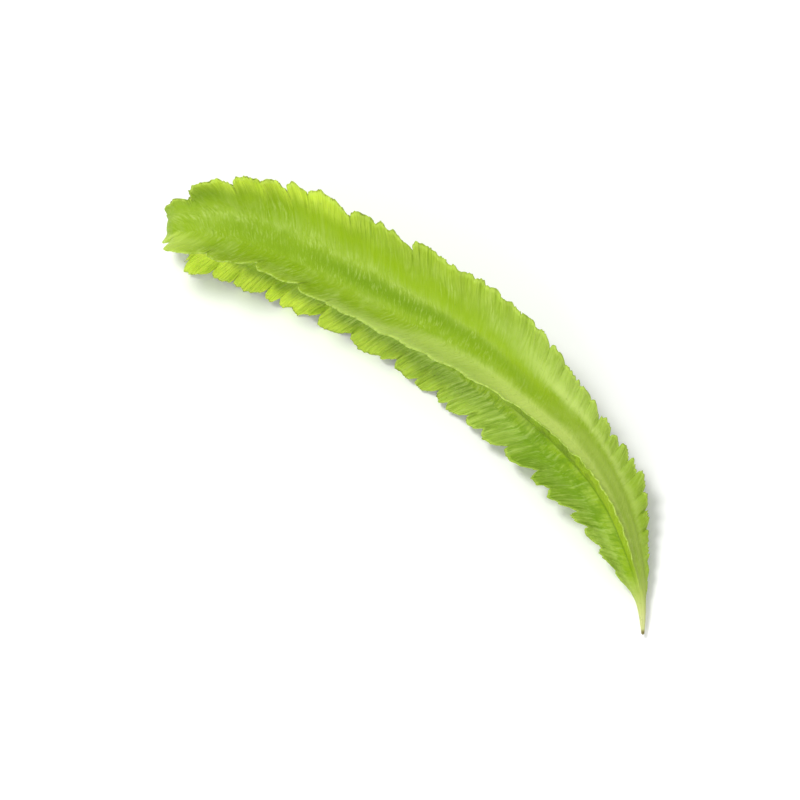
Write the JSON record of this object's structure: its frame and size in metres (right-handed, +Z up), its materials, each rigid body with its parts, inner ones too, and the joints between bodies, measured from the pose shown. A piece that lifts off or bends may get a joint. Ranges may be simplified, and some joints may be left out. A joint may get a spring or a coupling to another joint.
{
  "type": "winged bean",
  "caption": "Long arched green bean pod with four frilled lengthwise wings, a pointed beak, a dried calyx and a short cut stalk, lying down.",
  "frame": {"origin": "centre of the bounding box in plan, on the surface that the pod lies on", "axes": "+X along the pod from the stem end to the tip, +Y toward the outside of its arch, +Z up"},
  "size_m": [0.1815, 0.0506, 0.033],
  "materials": {
    "pod_skin": "satin, fresh green, slightly translucent at the wings' margins",
    "calyx_dry": "matte, dried brown",
    "stalk_skin": "satin, green"
  },
  "bodies": {
    "root": {"pod": "pod_skin", "calyx": "calyx_dry", "stalk": "stalk_skin"}
  },
  "joints": []
}
